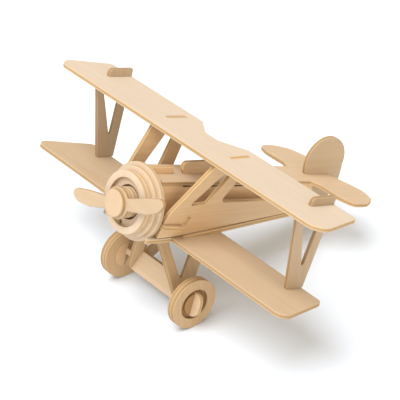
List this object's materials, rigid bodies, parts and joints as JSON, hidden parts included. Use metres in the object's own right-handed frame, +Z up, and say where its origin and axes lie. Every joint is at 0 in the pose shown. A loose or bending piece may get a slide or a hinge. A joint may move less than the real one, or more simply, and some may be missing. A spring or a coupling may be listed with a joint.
{
  "type": "biplane scale model",
  "caption": "Slotted plywood biplane model standing nose up on its wheels and tail skid, with a layered round cowling, a turning propeller and turning wheels",
  "frame": {"origin": "on the ground, below the middle of the bounding box of the model at rest on its two wheels and tail skid", "axes": "+Z up, nose toward -Y, port wing toward +X"},
  "size_m": [0.2654, 0.2014, 0.1174],
  "materials": {
    "birch_face": "unfinished sanded plywood",
    "birch_edge": "unfinished plywood, darker veneer"
  },
  "bodies": {
    "airframe": {"upper_wing": "birch_face", "lower_wing": "birch_face", "wing_strut_port": "birch_face", "wing_strut_starboard": "birch_face", "side_plate_port": "birch_face", "side_plate_starboard": "birch_face", "upper_panel_port": "birch_face", "upper_panel_starboard": "birch_face", "top_deck": "birch_face", "headrest": "birch_face", "cowl_rib": "birch_face", "belly_plate": "birch_face", "chin_plate": "birch_face", "cross_plate": "birch_face", "cross_brace": "birch_face", "mid_former": "birch_face", "tail_former": "birch_face", "nose_former": "birch_face", "cowl_layer_1": "birch_face", "cowl_layer_2": "birch_face", "cowl_layer_3": "birch_face", "cowl_back_disc": "birch_face", "gear_leg_port": "birch_face", "gear_leg_starboard": "birch_face", "axle_plate": "birch_face", "bearing_disc_port": "birch_face", "bearing_disc_starboard": "birch_face", "hub_keeper_port": "birch_edge", "hub_keeper_starboard": "birch_edge", "fin": "birch_face"},
    "propeller_unit": {"prop_shaft": "birch_edge", "shaft_stop": "birch_face", "boss_disc_1": "birch_face", "boss_disc_2": "birch_face", "boss_disc_3": "birch_face", "boss_disc_4": "birch_face", "propeller": "birch_face", "prop_cap": "birch_face"},
    "port_wheel": {"wheel_disc_port": "birch_face", "wheel_ring_port": "birch_face"},
    "starboard_wheel": {"wheel_disc_starboard": "birch_face", "wheel_ring_starboard": "birch_face"}
  },
  "joints": [
    {"name": "propeller_spin", "type": "hinge", "parent": "airframe", "child": "propeller_unit", "pos_m": [0, -0.09219, 0.0875], "axis": [0, -0.9489, 0.3156], "continuous": true},
    {"name": "port_wheel_spin", "type": "hinge", "parent": "airframe", "child": "port_wheel", "pos_m": [0.0367, -0.06394, 0.0175], "axis": [1, 0, 0], "continuous": true},
    {"name": "starboard_wheel_spin", "type": "hinge", "parent": "airframe", "child": "starboard_wheel", "pos_m": [-0.0367, -0.06394, 0.0175], "axis": [1, 0, 0], "continuous": true}
  ]
}
